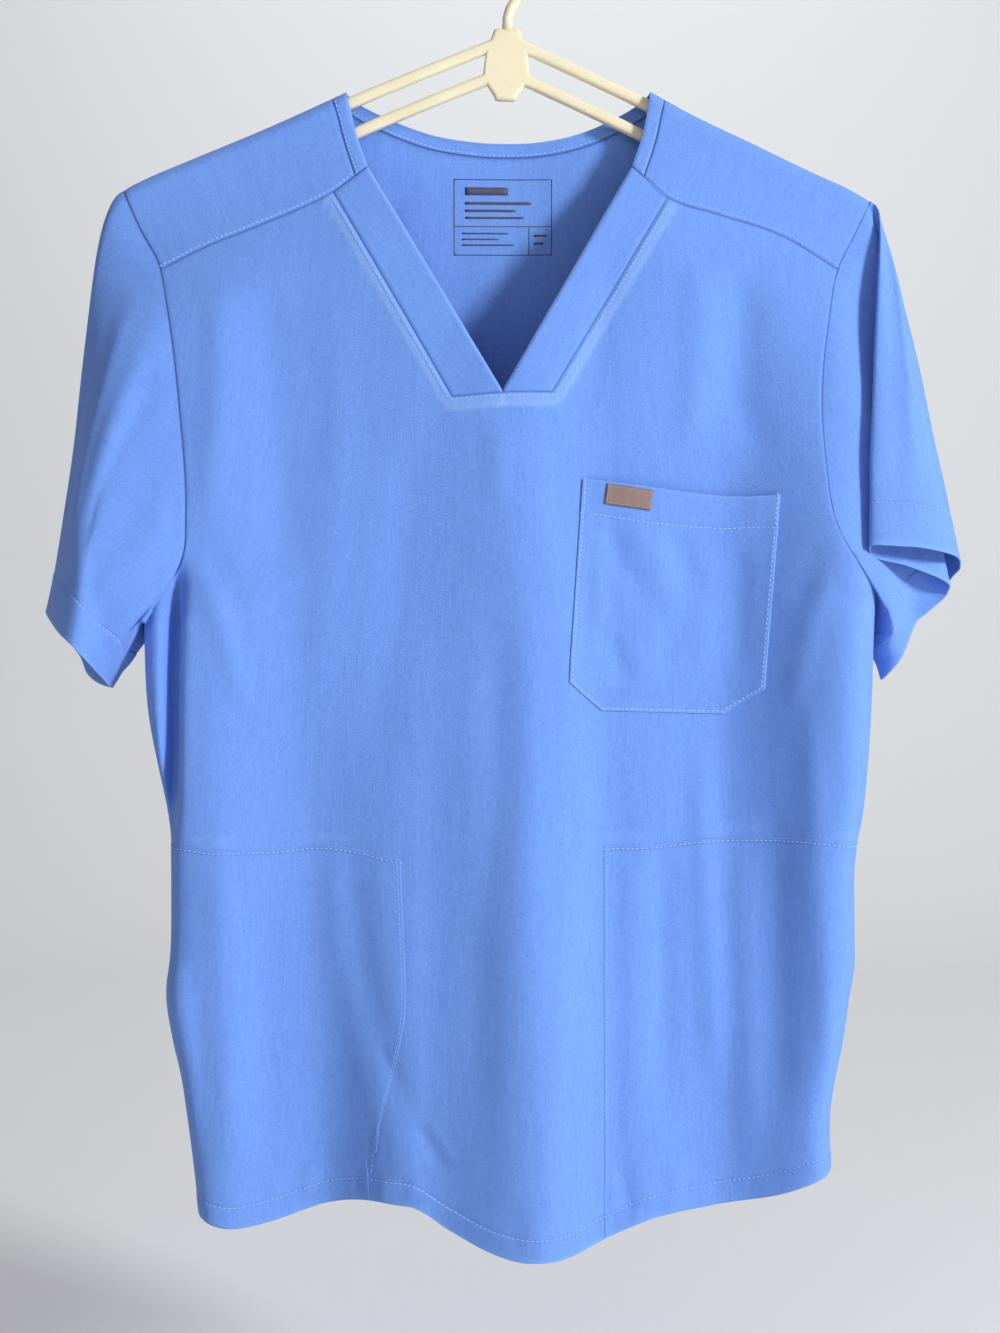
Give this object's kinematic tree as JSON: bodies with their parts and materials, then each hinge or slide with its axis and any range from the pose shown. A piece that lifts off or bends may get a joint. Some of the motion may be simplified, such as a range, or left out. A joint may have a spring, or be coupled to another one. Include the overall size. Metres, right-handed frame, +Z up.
{
  "type": "scrub top on a hanger",
  "caption": "Short-sleeved V-neck scrub top with a chest pocket and patch pockets, hanging on a moulded two-rail hanger.",
  "frame": {"origin": "inside top of the hook's bend, where the hanger hangs on its rail", "axes": "+Z up along the hook, +X towards the wearer's left sleeve, -Y out of the front of the top"},
  "size_m": [0.5921, 0.1604, 0.8311],
  "materials": {
    "scrub_cloth": "matt woven polyester and cotton, bright blue",
    "tab_brown": "dense woven tape, dark brown, blank",
    "hanger_plastic": "smooth moulded plastic, cream"
  },
  "bodies": {
    "root": {"front": "scrub_cloth", "back": "scrub_cloth", "sleeve_right": "scrub_cloth", "sleeve_left": "scrub_cloth", "v_band_right": "scrub_cloth", "v_band_left": "scrub_cloth", "neck_binding": "scrub_cloth", "chest_pocket": "scrub_cloth", "pocket_tab": "tab_brown", "lower_pocket_right": "scrub_cloth", "lower_pocket_left": "scrub_cloth", "hanger": "hanger_plastic", "hanger_hook": "hanger_plastic"}
  },
  "joints": []
}
